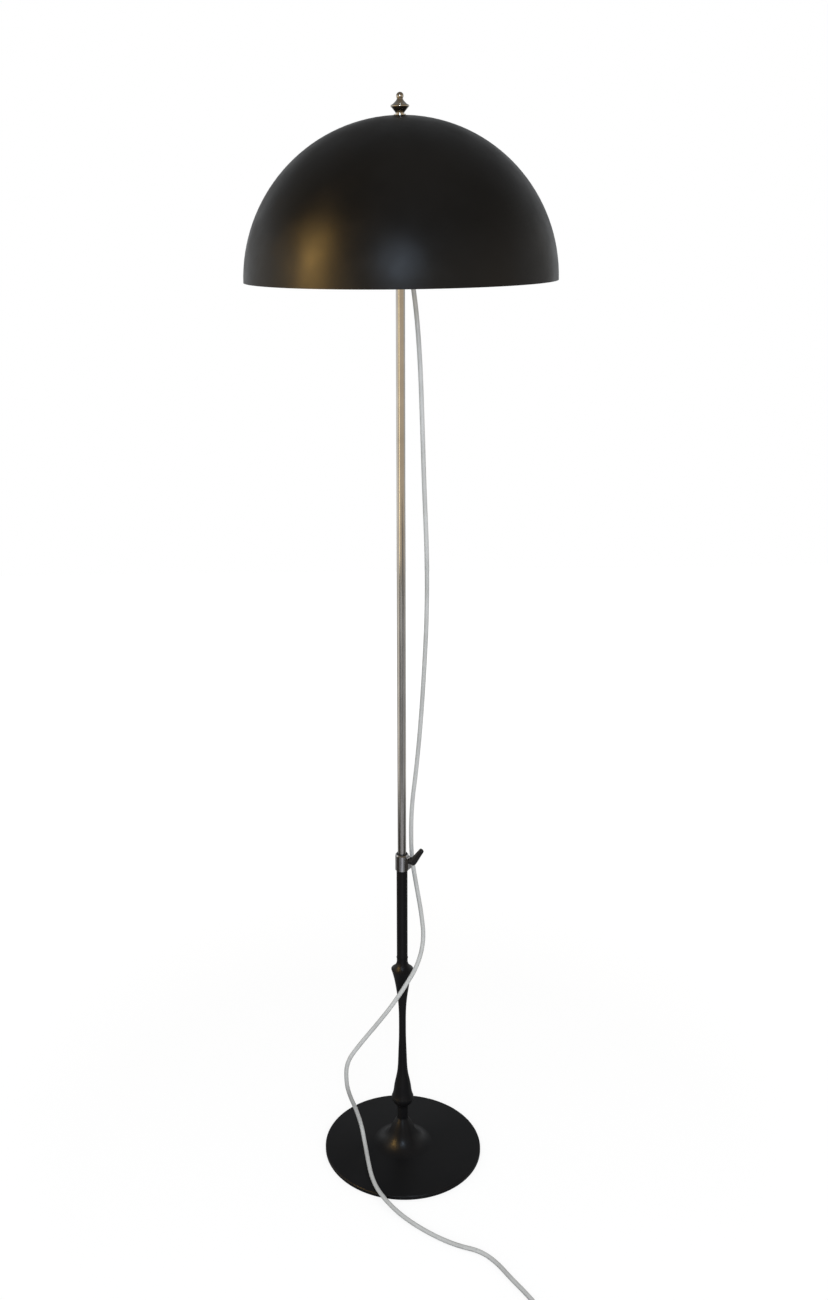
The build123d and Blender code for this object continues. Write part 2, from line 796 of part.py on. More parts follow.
def coil_path():
    """Spiral in on the floor, climb one layer, spiral out, then come down to the plug."""
    heading = (coil_start - Vector(*lower_route[-1])).normalized()
    inward = Vector(heading.Y, -heading.X, 0)
    pitch = lead_diameter + turn_gap
    lift = Vector(0, 0, pitch)

    def place(across, along=0.0, raised=0.0):
        return coil_start + inward * across + heading * (along + lead_diameter) + lift * raised

    edges = [Line(coil_start, place(0))]
    across = 0.0
    forward = True
    radius = coil_outer_radius
    for _ in range(coil_half_turns):
        across += 2 * radius if forward else -2 * radius
        edges.append(TangentArc(edges[-1] @ 1, place(across), tangent=edges[-1] % 1))
        forward = not forward
        radius -= pitch / 2
    bulge = math.sqrt(radius**2 + (pitch / 2) ** 2)
    side = 1 if forward else -1
    edges.append(TangentArc(
        edges[-1] @ 1, place(across + side * radius, side * bulge, 0.5), tangent=edges[-1] % 1))
    across += side * 2 * radius
    edges.append(TangentArc(edges[-1] @ 1, place(across, 0, 1), tangent=edges[-1] % 1))
    forward = not forward
    for _ in range(coil_half_turns + 1):
        radius += pitch / 2
        across += 2 * radius if forward else -2 * radius
        edges.append(TangentArc(edges[-1] @ 1, place(across, 0, 1), tangent=edges[-1] % 1))
        forward = not forward
    top = edges[-1] @ 1
    low = Vector(top.X, top.Y, plug_axis_height)
    half_way = (top + low) / 2 + heading * (settle_length / 2)
    edges.append(TangentArc(top, half_way, tangent=heading))
    edges.append(TangentArc(half_way, low + heading * settle_length, tangent=edges[-1] % 1))
    edges.append(Line(edges[-1] @ 1, low + heading * (settle_length + lead_diameter)))
    return edges


def least_gap(edges):
    """Smallest free distance between stretches of the coil more than a third of a turn apart."""
    samples = []
    travelled = 0.0
    for edge in edges:
        steps = max(2, int(edge.length / 2.5))
        for step in range(steps):
            samples.append((travelled + edge.length * step / steps, edge @ (step / steps)))
        travelled += edge.length
    apart = coil_outer_radius * 2
    return min(
        (second - first).length
        for number, (place, first) in enumerate(samples)
        for later, second in samples[number + 1:]
        if later - place > apart
    ) - lead_diameter


def cord_coil():
    edges = coil_path()
    print(f"cord_coil: least gap to itself {least_gap(edges):.2f} mm")
    return tube_along(Wire(edges), "cord_coil")


def plug_frame():
    """Plane at the coil's end, its Z pointing along the plug."""
    last = coil_path()[-1]
    heading = last % 1
    return Plane(origin=last @ 1, x_dir=(0, 0, 1), z_dir=heading)


def plug_body():
    """Flat two-pole plug with a tapered sleeve on the lead."""
    frame = plug_frame()
    sleeve_length = plug_sleeve_length + plug_sleeve_root
    sleeve = Cone(lead_radius + plug_sleeve_wall, plug_sleeve_radius, sleeve_length)
    stations = [0, plug_waist_length, plug_body_length]
    heights = [plug_body_height - plug_back_inset, plug_body_height, plug_body_height]
    widths = [plug_back_width, plug_waist_width, plug_body_width]
    back, waist, front = [
        Pos(0, 0, plug_sleeve_length + station) * RectangleRounded(height, width, corner)
        for station, height, width, corner in zip(stations, heights, widths, plug_corners)
    ]
    body = loft([back, waist]) + loft([waist, front])
    body += Pos(0, 0, sleeve_length / 2) * sleeve
    for side in (-1, 1):
        hole = Pos(0, side * pin_spacing / 2, plug_sleeve_length + plug_body_length - pin_root / 2)
        body -= hole * Cylinder(pin_radius + thread_gap, pin_root)
    return frame * body


def plug_pins():
    """Two round pins with domed tips, held in the plug."""
    start = plug_sleeve_length + plug_body_length - pin_root
    pins = []
    for side in (-1, 1):
        length = pin_length + pin_root
        pin = Pos(0, side * pin_spacing / 2, start + length / 2) * Cylinder(pin_radius, length)
        pins.append(fillet(pin.edges().sort_by(Axis.Z)[-1], pin_radius * 0.6))
    return plug_frame() * Compound(children=pins)


nodes = {
    "felt_pad": felt_pad,
    "base_weight": foot_weight,
    "base_cover": foot_cover,
    "base_washer": foot_washer,
    "base_nut": foot_nut,
    "base_stud": foot_stud,
    "stem": stem,
    "outer_tube": outer_tube,
    "clamp_collar": clamp_collar,
    "tube_bush": tube_bush,
    "clamp_pad": clamp_pad,
    "clamp_screw": clamp_screw,
    "clamp_lever": clamp_lever,
    "inner_tube": inner_tube,
    "tube_foot": tube_foot,
    "cluster_body": cluster_body,
    "center_rod": center_rod,
    "rod_locknut": rod_locknut,
    "cord_gland": cord_gland,
    "shade_washer": shade_washer,
    "shade": shade,
    "top_washer": top_washer,
    "finial": finial,
    "cord_hanging": cord_hanging,
    "cord_lower": cord_lower,
    "cord_coil": cord_coil,
    "plug_body": plug_body,
    "plug_pins": plug_pins,
}

lamp_sides = {"left": -1, "right": 1}
lamp_pieces = {
    "lampholder": lampholder,
    "holder_insert": holder_insert,
    "bulb_cap": bulb_cap,
    "bulb_glass": bulb_glass,
}

os.makedirs("parts", exist_ok=True)
for name, make in nodes.items():
    export_step(make(), f"parts/{name}.step")
for piece, make in lamp_pieces.items():
    for label, side in lamp_sides.items():
        export_step(make(side), f"parts/{piece}_{label}.step")
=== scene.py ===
import math

import bpy
from mathutils import Matrix, Vector


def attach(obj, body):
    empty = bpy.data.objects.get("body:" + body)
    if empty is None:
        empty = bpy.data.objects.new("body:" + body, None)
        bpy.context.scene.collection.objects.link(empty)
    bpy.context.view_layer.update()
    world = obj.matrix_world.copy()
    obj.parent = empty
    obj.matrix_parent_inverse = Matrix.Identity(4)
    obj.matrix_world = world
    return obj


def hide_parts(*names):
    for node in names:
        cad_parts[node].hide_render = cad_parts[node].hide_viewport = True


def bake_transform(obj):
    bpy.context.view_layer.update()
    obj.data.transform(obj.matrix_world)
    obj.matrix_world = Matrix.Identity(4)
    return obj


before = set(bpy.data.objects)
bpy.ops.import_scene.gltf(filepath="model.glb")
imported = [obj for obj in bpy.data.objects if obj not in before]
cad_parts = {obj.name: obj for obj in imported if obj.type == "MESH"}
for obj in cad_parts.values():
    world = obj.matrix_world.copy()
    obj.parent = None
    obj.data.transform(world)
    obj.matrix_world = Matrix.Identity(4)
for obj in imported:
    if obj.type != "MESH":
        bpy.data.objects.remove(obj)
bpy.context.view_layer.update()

MM = 0.001
UPRIGHT = Matrix.Identity(4)

# ---- camera, fitted to the photograph's 828 x 1300 frame ----
FRAME_WIDTH = 828
FRAME_HEIGHT = 1300
OPTICAL_CENTRE = (349.0, 581.0)
FOCAL_PIXELS = 1364.0
SENSOR = 36.0
CAMERA_PLACE = (-0.0706, -1.7794, 1.3824)
CAMERA_PITCH = 15.31
CAMERA_ROLL = -0.76
CAMERA_REACH = 60

# ---- floor, backdrop and room, in metres ----
FLOOR_REACH = 3.4
FLOOR_COLOUR = (0.21, 0.208, 0.205)
FLOOR_GLOW_NEAR = (0.81, 0.81, 0.81)
FLOOR_GLOW_FAR = (0.93, 0.93, 0.93)
FLOOR_GLOW_SPAN = (0.5, 2.2)   # distances from the lamp between which the glow rises
FLOOR_GLOW_SEEN_BY = {"Is Camera Ray": 1.0, "Is Transmission Ray": 1.0, "Is Glossy Ray": 0.07}
ROOM_FRONT = (0.55, 0.45, 0.33)
ROOM_BACK = (0.66, 0.68, 0.7)
ROOM_CEILING_SHARE = 0.3       # brightness overhead, as a share of that at eye level
ROOM_TURN = (0.0, 0.55)        # backward part of a direction between which front turns to back
ROOM_RISE = (0.02, 0.5)        # upward part of a direction between which the room dims
AMBIENT_COLOUR = (1.0, 0.99, 0.975)
AMBIENT_STRENGTH = 0.74
ENAMELLED = ("shade", "stem", "outer_tube", "base_cover")
FLOOR_CARD_LIFT = Vector((0, 0, 1 * MM))
FLOOR_CARD_INNER = 0.35
FLOOR_CARD_OUTER = 1.35

# ---- flexible lead, the same route as the solids; its points are in millimetres ----
LEAD = 6.2 * MM
LEAD_SIDES = 18
FLOOR_LEVEL = 3.15
HANGING_ROUTE = [
    (13, 5, 1330),
    (14.5, 5.2, 1297),
    (21, 5.8, 1252),
    (26, 6.4, 1184),
    (28.8, 7, 1102),
    (31.5, 7.4, 1016),
    (35.3, 8, 930),
    (35.5, 8.3, 846),
    (32, 9, 766),
    (27.5, 10.4, 689),
    (21.5, 12.4, 617),
    (14.8, 14, 560),
    (13.6, 14.6, 517),
    (14.5, 15, 476),
    (21, 12, 434),
]
LOWER_ROUTE = [
    (28, 3, 394),
    (31.5, -8, 357),
    (22.5, -21, 325),
    (5, -25, 294),
    (-17, -26.5, 259),
    (-40, -28.5, 229),
    (-63, -30, 200),
    (-84, -31, 170),
    (-84.5, -27.5, 131),
    (-79, -13, 98),
    (-71, 3, 66),
    (-62.5, 6, 34.5),
    (-57, -16, 13.4),
    (-53.5, -48, 12.6),
    (-49.5, -78, 11.2),
    (-41.5, -106, 10.2),
    (-27, -130, 7.2),
    (-8, -153, 4.2),
    (15, -175, FLOOR_LEVEL),
    (41, -196, FLOOR_LEVEL),
    (68, -212, FLOOR_LEVEL),
    (97, -222, FLOOR_LEVEL),
    (117, -243, FLOOR_LEVEL),
    (133, -272, FLOOR_LEVEL),
    (152, -302, FLOOR_LEVEL),
    (168, -334, FLOOR_LEVEL),
    (178, -362, FLOOR_LEVEL),
]
COIL_START = Vector((184, -386, FLOOR_LEVEL))
COIL_RADIUS = 42.0
COIL_PITCH = 6.9
COIL_HALF_TURNS = 4
COIL_STEPS = 8                 # control points in each half turn
SETTLE_LENGTH = 30.0           # from the coil's end to the plug
SETTLE_EASE = 9.0              # straight part at each end of that length
PLUG_AXIS_HEIGHT = 6.85
SAME_POINT = 1e-6              # points closer than this are one point

# ---- surface relief, in metres ----
ENAMEL_PEEL = 0.00002
PLATING_MARKS = 0.000008
MOULD_GRAIN = 0.00002
FELT_FIBRES = 0.0003
IRON_GRAIN = 0.0002
LEAD_GRAIN = 0.00004

# ---- threads ----
THREAD_STEPS = 16              # points in each turn
THREAD_SHARE = 0.28            # ridge radius as a share of the pitch
THREAD_SIDES = 6
FINE_PITCH = 1.0 * MM

# ---- cluster, lampholders and shade ----
CLUSTER_RADIUS = 18 * MM
CLUSTER_BEAD_RADIUS = 17.8 * MM
CLUSTER_BEAD = 0.45 * MM
CLUSTER_LOW_BEAD_HEIGHT = 1355.0 * MM
CLUSTER_HIGH_BEAD_HEIGHT = 1387.5 * MM
CLUSTER_SCREW_HEIGHT = 1358 * MM
CLUSTER_SCREW_RADIUS = 2.6 * MM
SCREW_SINK = 0.1 * MM          # the screws sit this far inside the cluster's surface
SCREW_HEAD_BORE = 0.1 * MM     # keeps the turned head's middle free of doubled points
SCREW_HEAD_SIDES = 24
HEAD_EDGE_HEIGHT = 0.5         # this and the next five are shares of the head's radius
HEAD_HEIGHT = 0.66
HEAD_TOP_RADIUS = 0.86
SLOT_HALF_WIDTH = 0.14
SLOT_HALF_LENGTH = 0.8
SLOT_HEIGHT = 0.665
ROD_THREAD_RADIUS = 5.02 * MM
ROD_THREAD_BOTTOM = 1404 * MM
ROD_THREAD_TOP = 1489 * MM
LAMP_AXIS_HEIGHT = 1375 * MM
HOLDER_RADIUS = 18.5 * MM
GRIP_START = 18 * MM
GRIP_LENGTH = 9 * MM
GRIP_DEPTH = 1.3 * MM
GRIP_RIBS = 30
RIB_STEPS = 4                  # mesh steps from one rib to the next
GRIP_LEVELS = [(0.0, 0.0), (0.12, 1.0), (0.88, 1.0), (1.0, 0.0)]
GRIP_VALLEY = 0.45             # height between the ribs, as a share of a rib
MOUTH_RADIUS = 17.6 * MM
MOUTH_START = 45.2 * MM
MOUTH_BEAD = 0.7 * MM
STEP_RADIUS = 16.6 * MM
STEP_START = 9.5 * MM
STEP_BEAD = 0.5 * MM
HOLDER_THREAD_START = 30 * MM
HOLDER_THREAD_END = 43 * MM
HOLDER_THREAD_PITCH = 2.2 * MM
GLAND_PLACE = (13 * MM, 5 * MM, 0)
GLAND_RIBS = 6
GLAND_TOP = 1345.0 * MM
GLAND_REACH = 12.5 * MM        # from the top rib down to the lowest
GLAND_TOP_RADIUS = 4.65 * MM
GLAND_TAPER = 0.72 * MM
GLAND_RIB = 0.55 * MM
DOME_CENTRE = (0, 0, 1.292)
DOME_MIDDLE_RADIUS = 0.1995    # between the shade's inner and outer face
RIM_BEAD_RADIUS = 198.6 * MM
RIM_BEAD_HEIGHT = 1293.1 * MM
RIM_BEAD = 1.0 * MM
RIM_SIDES = 160

# ---- clamp, lever and foot ----
SCREW_HEIGHT = 482.8 * MM
LUG_TURN = -35.0
LUG_REACH = 13.2 * MM
LEVER_GAP = 0.2 * MM
HUB_LENGTH = 7.6 * MM
ARM_ROOT_REACH = 2.2 * MM
ARM_ROOT_RADIUS = 4.6 * MM
ARM_ROOT_DROP = 0.6 * MM
ARM_SLOPE = 56.0
WING_STATIONS = [              # distance along the arm, width and thickness, in millimetres
    (-4.4, 4.5, 3.4),
    (-3.6, 8.6, 5.2),
    (-1.0, 10.6, 6.4),
    (5.0, 10.2, 6.2),
    (12.0, 9.0, 5.6),
    (19.0, 7.9, 5.1),
    (25.4, 7.1, 4.8),
    (26.6, 6.2, 4.2),
    (26.9, 4.8, 3.2),
]
WING_POINTS = 20
WING_ROUNDING = (0.6, 0.8)     # below 1 the section is squarer, across and through
LEVER_SCREW_DISTANCE = 20.6 * MM
LEVER_SCREW_RADIUS = 2.4 * MM
NECK_RADIUS = 7.75 * MM
NECK_HEIGHT = 53.1 * MM
NECK_BEAD = 0.32 * MM
STUD_RADIUS = 5.0 * MM
STUD_THREAD_BOTTOM = 5.4 * MM
STUD_THREAD_TOP = 12.6 * MM


# ---------------------------------------------------------------- camera, floor and light
def make_camera():
    """The photograph's own view."""
    data = bpy.data.cameras.new("camera")
    data.sensor_width = SENSOR
    data.sensor_fit = "AUTO"
    data.lens = FOCAL_PIXELS / FRAME_HEIGHT * SENSOR
    data.shift_x = (FRAME_WIDTH / 2 - OPTICAL_CENTRE[0]) / FRAME_HEIGHT
    data.shift_y = (OPTICAL_CENTRE[1] - FRAME_HEIGHT / 2) / FRAME_HEIGHT
    data.clip_end = CAMERA_REACH
    camera = bpy.data.objects.new("camera", data)
    bpy.context.scene.collection.objects.link(camera)
    tilt = Matrix.Rotation(math.radians(90 - CAMERA_PITCH), 4, "X")
    roll = Matrix.Rotation(math.radians(CAMERA_ROLL), 4, "Z")
    camera.matrix_world = Matrix.Translation(CAMERA_PLACE) @ tilt @ roll
    bpy.context.scene.camera = camera


def area_light(name, place, aim, size, power, colour):
    """Soft rectangular lamp, aimed at a point."""
    data = bpy.data.lights.new(name, "AREA")
    data.shape = "RECTANGLE"
    data.size, data.size_y = size
    data.energy = power
    data.color = colour
    light = bpy.data.objects.new(name, data)
    bpy.context.scene.collection.objects.link(light)
    light.location = place
    direction = Vector(aim) - Vector(place)
    light.rotation_euler = direction.to_track_quat("-Z", "Y").to_euler()
    return light


def light_path_sum(nodes, links, weights):
    """Sum of the named light-path outputs, each times its weight."""
    path = nodes.new("ShaderNodeLightPath")
    total = None
    for name, weight in weights.items():
        part = nodes.new("ShaderNodeMath")
        part.operation = "MULTIPLY_ADD"
        links.new(path.outputs[name], part.inputs[0])
        part.inputs[1].default_value = weight
        part.inputs[2].default_value = 0.0
        if total is not None:
            links.new(total, part.inputs[2])
        total = part.outputs[0]
    return total


def make_floor():
    """Pale floor: white to the camera, greyer in reflections, with the object's soft shadow."""
    mesh = bpy.data.meshes.new("floor")
    reach = FLOOR_REACH
    corners = [(-reach, -reach, 0), (reach, -reach, 0), (reach, reach, 0), (-reach, reach, 0)]
    mesh.from_pydata(corners, [], [(0, 1, 2, 3)])
    floor = bpy.data.objects.new("floor", mesh)
    bpy.context.scene.collection.objects.link(floor)
    material = bpy.data.materials.new("floor")
    material.use_nodes = True
    nodes, links = material.node_tree.nodes, material.node_tree.links
    nodes.clear()
    output = nodes.new("ShaderNodeOutputMaterial")
    diffuse = nodes.new("ShaderNodeBsdfDiffuse")
    place = nodes.new("ShaderNodeTexCoord")
    distance = nodes.new("ShaderNodeVectorMath")
    distance.operation = "LENGTH"
    links.new(place.outputs["Object"], distance.inputs[0])
    diffuse.inputs["Color"].default_value = (*FLOOR_COLOUR, 1)
    away = spread(nodes, links, distance.outputs["Value"], 0.0, 1.0, *FLOOR_GLOW_SPAN)
    glow = nodes.new("ShaderNodeEmission")
    glow_tone = two_tone(nodes, links, away, FLOOR_GLOW_NEAR, FLOOR_GLOW_FAR, 0.0, 1.0)
    links.new(glow_tone, glow.inputs["Color"])
    shown = light_path_sum(nodes, links, FLOOR_GLOW_SEEN_BY)
    links.new(shown, glow.inputs["Strength"])
    both = nodes.new("ShaderNodeAddShader")
    links.new(diffuse.outputs[0], both.inputs[0])
    links.new(glow.outputs[0], both.inputs[1])
    links.new(both.outputs[0], output.inputs[0])
    mesh.materials.append(material)


def room_colour(nodes, links):
    """What metal and enamel mirror: a pale backdrop behind the lamp, a dim warm room in front."""
    place = nodes.new("ShaderNodeTexCoord")
    split = nodes.new("ShaderNodeSeparateXYZ")
    links.new(place.outputs["Generated"], split.inputs[0])
    front_to_back = two_tone(nodes, links, split.outputs["Y"], ROOM_FRONT, ROOM_BACK, *ROOM_TURN)
    rise = spread(nodes, links, split.outputs["Z"], 1.0, ROOM_CEILING_SHARE, *ROOM_RISE)
    scale = nodes.new("ShaderNodeVectorMath")
    scale.operation = "SCALE"
    links.new(front_to_back, scale.inputs[0])
    links.new(rise, scale.inputs["Scale"])
    return scale.outputs["Vector"]


def make_world():
    """White for the camera and through glass, the room in reflections, an even soft light elsewhere."""
    world = bpy.data.worlds.new("world")
    world.use_nodes = True
    bpy.context.scene.world = world
    nodes, links = world.node_tree.nodes, world.node_tree.links
    nodes.clear()
    output = nodes.new("ShaderNodeOutputWorld")
    ambient = nodes.new("ShaderNodeBackground")
    ambient.inputs["Color"].default_value = (*AMBIENT_COLOUR, 1)
    ambient.inputs["Strength"].default_value = AMBIENT_STRENGTH
    room = nodes.new("ShaderNodeBackground")
    links.new(room_colour(nodes, links), room.inputs["Color"])
    backdrop = nodes.new("ShaderNodeBackground")
    backdrop.inputs["Color"].default_value = (1, 1, 1, 1)
    in_mirrors = nodes.new("ShaderNodeMixShader")
    links.new(light_path_sum(nodes, links, {"Is Glossy Ray": 1.0}), in_mirrors.inputs[0])
    links.new(ambient.outputs[0], in_mirrors.inputs[1])
    links.new(room.outputs[0], in_mirrors.inputs[2])
    seen = nodes.new("ShaderNodeMixShader")
    straight = light_path_sum(nodes, links, {"Is Camera Ray": 1.0, "Is Transmission Ray": 1.0})
    links.new(straight, seen.inputs[0])
    links.new(in_mirrors.outputs[0], seen.inputs[1])
    links.new(backdrop.outputs[0], seen.inputs[2])
    links.new(seen.outputs[0], output.inputs[0])


def light_only(light, names):
    """Keeps a lamp's light to the named solids, so that it makes no specks on the plating."""
    lit = bpy.data.collections.new(f"{light.name}_lit")
    for name in names:
        lit.objects.link(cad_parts[name])
    light.light_linking.receiver_collection = lit


def make_lights():
    """Two windows that the enamel mirrors, and a soft fill that reflections don't see."""
    warm = area_light(
        "warm_window", place=(-2.1, -0.92, 1.72), aim=(0, 0, 1.3), size=(0.55, 1.6), power=62,
        colour=(1.0, 0.6, 0.17))
    warm.visible_diffuse = False
    light_only(warm, ENAMELLED)
    area_light(
        "cool_window", place=(-0.12, -2.7, 1.95), aim=(0, 0, 1.0), size=(0.5, 0.5), power=24,
        colour=(0.62, 0.78, 1.0))
    fill = area_light(
        "front_fill", place=(0.5, -3.2, 0.9), aim=(0, 0, 0.9), size=(2.4, 1.6), power=44,
        colour=(1.0, 0.99, 0.97))
    fill.visible_glossy = False


def glow_material(name, colour):
    """Plain glow for the cards."""
    material = bpy.data.materials.new(name)
    material.use_nodes = True
    nodes, links = material.node_tree.nodes, material.node_tree.links
    nodes.clear()
    output = nodes.new("ShaderNodeOutputMaterial")
    glow = nodes.new("ShaderNodeEmission")
    glow.inputs["Color"].default_value = (*colour, 1)
    links.new(glow.outputs[0], output.inputs[0])
    return material


def stage_card(name, corners, faces, colour):
    """Flat glowing card that is part of the stage and shows in reflections only."""
    card = mesh_object(name, corners, faces, glow_material(name, colour), smooth=False)
    card.visible_camera = False
    card.visible_diffuse = False
    card.visible_shadow = False
    card.visible_transmission = False


def wall_card(name, azimuth, distance, width, height, colour, bottom=0.0):
    """Upright card that only reflections see; its azimuth runs from the front, to the right."""
    angle = math.radians(azimuth)
    outwards = Vector((math.sin(angle), -math.cos(angle), 0))
    across = Vector((math.cos(angle), math.sin(angle), 0)) * (width / 2)
    centre = outwards * distance + Vector((0, 0, bottom))
    top = Vector((0, 0, height))
    corners = [centre - across, centre + across, centre + across + top, centre - across + top]
    stage_card(name, corners, [(0, 1, 2, 3)], colour)


def floor_card(name, azimuth, spread_angle, colour):
    """Slice of floor that only reflections see, for the streaks low on the plating."""
    corners = []
    for reach in (FLOOR_CARD_INNER, FLOOR_CARD_OUTER):
        for side in (-0.5, 0.5):
            angle = math.radians(azimuth + side * spread_angle)
            corners.append(Vector((math.sin(angle), -math.cos(angle), 0)) * reach + FLOOR_CARD_LIFT)
    stage_card(name, corners, [(0, 1, 3, 2)], colour)


def make_cards():
    """Walls, a dark doorway and slices of floor that give the plating its upright streaks."""
    wall_card("left_wall", -96, 1.3, 1.3, 1.7, (0.8, 0.76, 0.7))
    wall_card("left_door", -52, 1.2, 0.2, 1.0, (0.42, 0.37, 0.3))
    wall_card("bright_curtain_edge", -40, 1.1, 0.2, 0.62, (2.3, 1.9, 1.2), 0.62)
    wall_card("dark_chair", -18, 0.9, 0.26, 0.5, (0.09, 0.085, 0.09))
    wall_card("dark_doorway", 24, 1.0, 0.24, 0.8, (0.1, 0.085, 0.07))
    wall_card("pale_curtain", 44, 1.0, 0.14, 0.55, (0.62, 0.64, 0.7))
    wall_card("right_door", 66, 1.0, 0.24, 0.6, (0.12, 0.12, 0.12))
    floor_card("dark_boards_left", -75, 62, (0.05, 0.045, 0.04))
    floor_card("light_boards", -4, 26, (0.62, 0.62, 0.66))
    floor_card("dark_boards_right", 62, 50, (0.045, 0.04, 0.035))
    wall_card("right_wall", 105, 1.3, 1.1, 1.7, (0.5, 0.49, 0.47))


# ---------------------------------------------------------------- materials
def new_material(name):
    """Fresh material, with its nodes, its links and its shader."""
    material = bpy.data.materials.new(name)
    material.use_nodes = True
    nodes = material.node_tree.nodes
    return material, nodes, material.node_tree.links, nodes["Principled BSDF"]


def noise(nodes, links, scale, detail=3.0, stretch=(1, 1, 1), roughness=0.5):
    """Noise in the object's own coordinates, so that it doesn't slide when the object moves."""
    place = nodes.new("ShaderNodeTexCoord")
    mapping = nodes.new("ShaderNodeMapping")
    mapping.inputs["Scale"].default_value = stretch
    texture = nodes.new("ShaderNodeTexNoise")
    texture.inputs["Scale"].default_value = scale
    texture.inputs["Detail"].default_value = detail
    texture.inputs["Roughness"].default_value = roughness
    links.new(place.outputs["Object"], mapping.inputs["Vector"])
    links.new(mapping.outputs["Vector"], texture.inputs["Vector"])
    return texture.outputs["Fac"]


def spread(nodes, links, source, low, high, start=0.35, end=0.65):
    """Maps a noise value onto a range of numbers."""
    span = nodes.new("ShaderNodeMapRange")
    span.inputs["From Min"].default_value = start
    span.inputs["From Max"].default_value = end
    span.inputs["To Min"].default_value = low
    span.inputs["To Max"].default_value = high
    links.new(source, span.inputs["Value"])
    return span.outputs["Result"]


def two_tone(nodes, links, source, first, second, start=0.35, end=0.65):
    """Colour that goes from first to second as the source goes from start to end."""
    ramp = nodes.new("ShaderNodeValToRGB")
    ramp.color_ramp.elements[0].position = start
    ramp.color_ramp.elements[0].color = (*first, 1)
    ramp.color_ramp.elements[1].position = end
    ramp.color_ramp.elements[1].color = (*second, 1)
    links.new(source, ramp.inputs["Fac"])
    return ramp.outputs["Color"]


def add_bump(nodes, links, shader, source, height):
    """Fine relief of the given height."""
    bump = nodes.new("ShaderNodeBump")
    bump.inputs["Distance"].default_value = height
    links.new(source, bump.inputs["Height"])
    links.new(bump.outputs["Normal"], shader.inputs["Normal"])


def black_enamel(name, first, second, roughness, gloss, peel_height):
    """Satin black stove enamel: fine orange peel and faint cloudiness."""
    material, nodes, links, shader = new_material(name)
    cloud = noise(nodes, links, 9.0, 4.0)
    links.new(two_tone(nodes, links, cloud, first, second), shader.inputs["Base Color"])
    handled = noise(nodes, links, 26.0, 6.0)
    links.new(spread(nodes, links, handled, roughness - 0.04, roughness + 0.05), shader.inputs["Roughness"])
    shader.inputs["Specular IOR Level"].default_value = gloss
    peel = noise(nodes, links, 700.0, 2.0)
    add_bump(nodes, links, shader, peel, peel_height)
    return material


def shade_enamel():
    """Black outside and warm white inside, told apart by the distance from the dome's centre."""
    material = black_enamel(
        "shade_enamel", (0.0045, 0.0042, 0.0038), (0.007, 0.0065, 0.006), 0.37, 0.21, ENAMEL_PEEL)
    nodes, links = material.node_tree.nodes, material.node_tree.links
    shader = nodes["Principled BSDF"]
    output = nodes["Material Output"]
    place = nodes.new("ShaderNodeTexCoord")
    distance = nodes.new("ShaderNodeVectorMath")
    distance.operation = "DISTANCE"
    distance.inputs[1].default_value = DOME_CENTRE
    links.new(place.outputs["Object"], distance.inputs[0])
    inside = nodes.new("ShaderNodeMath")
    inside.operation = "LESS_THAN"
    inside.inputs[1].default_value = DOME_MIDDLE_RADIUS
    links.new(distance.outputs["Value"], inside.inputs[0])
    white = nodes.new("ShaderNodeBsdfPrincipled")
    dust = noise(nodes, links, 14.0, 5.0)
    inner = two_tone(nodes, links, dust, (0.74, 0.72, 0.67), (0.83, 0.82, 0.78))
    links.new(inner, white.inputs["Base Color"])
    links.new(spread(nodes, links, dust, 0.32, 0.46), white.inputs["Roughness"])
    mix = nodes.new("ShaderNodeMixShader")
    links.new(inside.outputs[0], mix.inputs[0])
    links.new(shader.outputs[0], mix.inputs[1])
    links.new(white.outputs[0], mix.inputs[2])
    links.new(mix.outputs[0], output.inputs["Surface"])
    return material


def plated(name, first, second, roughness, grain=(1, 1, 1), grain_scale=60.0):
    """Polished plating with faint polishing marks and slightly uneven gloss."""
    material, nodes, links, shader = new_material(name)
    shader.inputs["Metallic"].default_value = 1.0
    tarnish = noise(nodes, links, 16.0, 5.0)
    links.new(two_tone(nodes, links, tarnish, first, second), shader.inputs["Base Color"])
    marks = noise(nodes, links, grain_scale, 4.0, grain)
    links.new(spread(nodes, links, marks, roughness * 0.7, roughness * 1.5), shader.inputs["Roughness"])
    add_bump(nodes, links, shader, marks, PLATING_MARKS)
    return material


def moulded(name, first, second, roughness, gloss=0.5):
    """Moulded plastic with a fine grain and a little colour variation."""
    material, nodes, links, shader = new_material(name)
    cloud = noise(nodes, links, 22.0, 4.0)
    links.new(two_tone(nodes, links, cloud, first, second), shader.inputs["Base Color"])
    links.new(spread(nodes, links, cloud, roughness - 0.05, roughness + 0.07), shader.inputs["Roughness"])
    shader.inputs["Specular IOR Level"].default_value = gloss
    fine = noise(nodes, links, 900.0, 2.0)
    add_bump(nodes, links, shader, fine, MOULD_GRAIN)
    return material


def felt_material():
    """Pressed black felt."""
    material, nodes, links, shader = new_material("felt")
    fibres = noise(nodes, links, 420.0, 6.0, (1, 1, 0.3), 0.7)
    tone = two_tone(nodes, links, fibres, (0.018, 0.018, 0.018), (0.05, 0.05, 0.052))
    links.new(tone, shader.inputs["Base Color"])
    shader.inputs["Roughness"].default_value = 0.95
    shader.inputs["Sheen Weight"].default_value = 0.5
    add_bump(nodes, links, shader, fibres, FELT_FIBRES)
    return material


